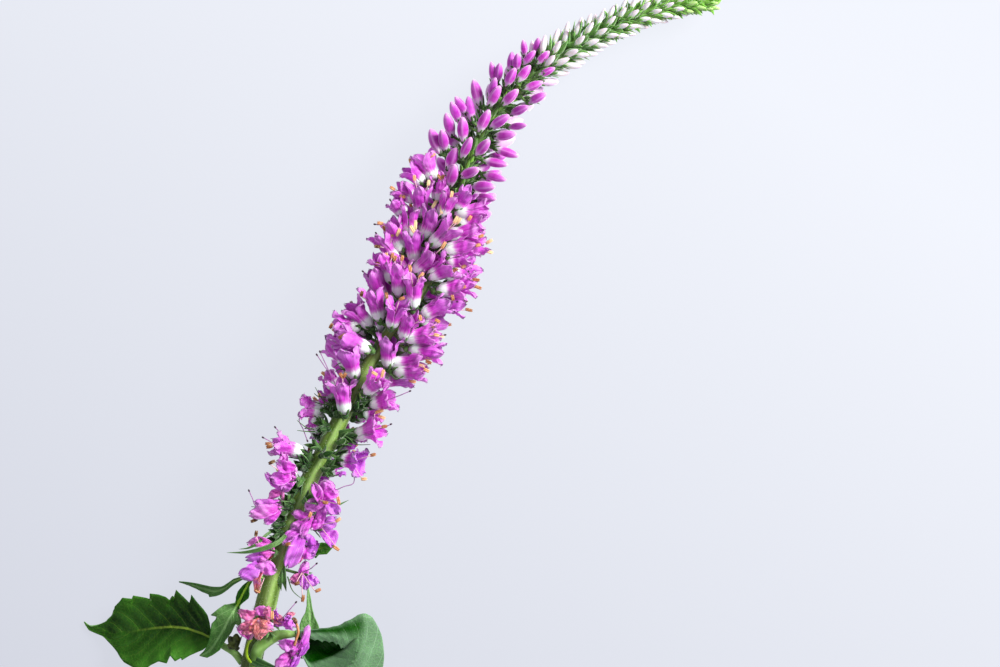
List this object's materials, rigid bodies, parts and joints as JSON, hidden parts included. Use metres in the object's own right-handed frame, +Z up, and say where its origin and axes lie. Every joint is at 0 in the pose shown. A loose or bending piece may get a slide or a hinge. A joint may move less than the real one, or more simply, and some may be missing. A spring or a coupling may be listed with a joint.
{
  "type": "veronica flower",
  "caption": "Cut speedwell flower lying down: a long tapering spike of small pink flowers and buds on a green stem with toothed leaves.",
  "frame": {"origin": "middle of the bottom of the part's box, on the surface that the flower lies on", "axes": "+Y along the flower from its cut end to its tip, +X to the side that the spike curves to, +Z up from the surface, out of the side that shows"},
  "size_m": [0.1282, 0.1858, 0.0186],
  "materials": {
    "stem_green": "fresh ribbed green stem with a waxy skin and fine pale hairs",
    "floret_pink": "soft thin magenta petals and buds with paler tubes, green calyces and peach anthers",
    "leaf_dark": "glossy dark green leaf with a lighter midrib and a paler matt underside",
    "leaf_light": "pale to mid green matt leaf and small green buds"
  },
  "bodies": {
    "root": {"stem": "stem_green", "flower_spike": "floret_pink", "side_spray": "floret_pink", "axil_buds": "leaf_light", "leaf_large_left": "leaf_dark", "leaf_large_right": "leaf_dark", "leaf_toothed_left": "leaf_light", "leaf_narrow_left": "leaf_light", "leaf_upright_right": "leaf_light", "leaf_dark_right": "leaf_dark"}
  },
  "joints": []
}
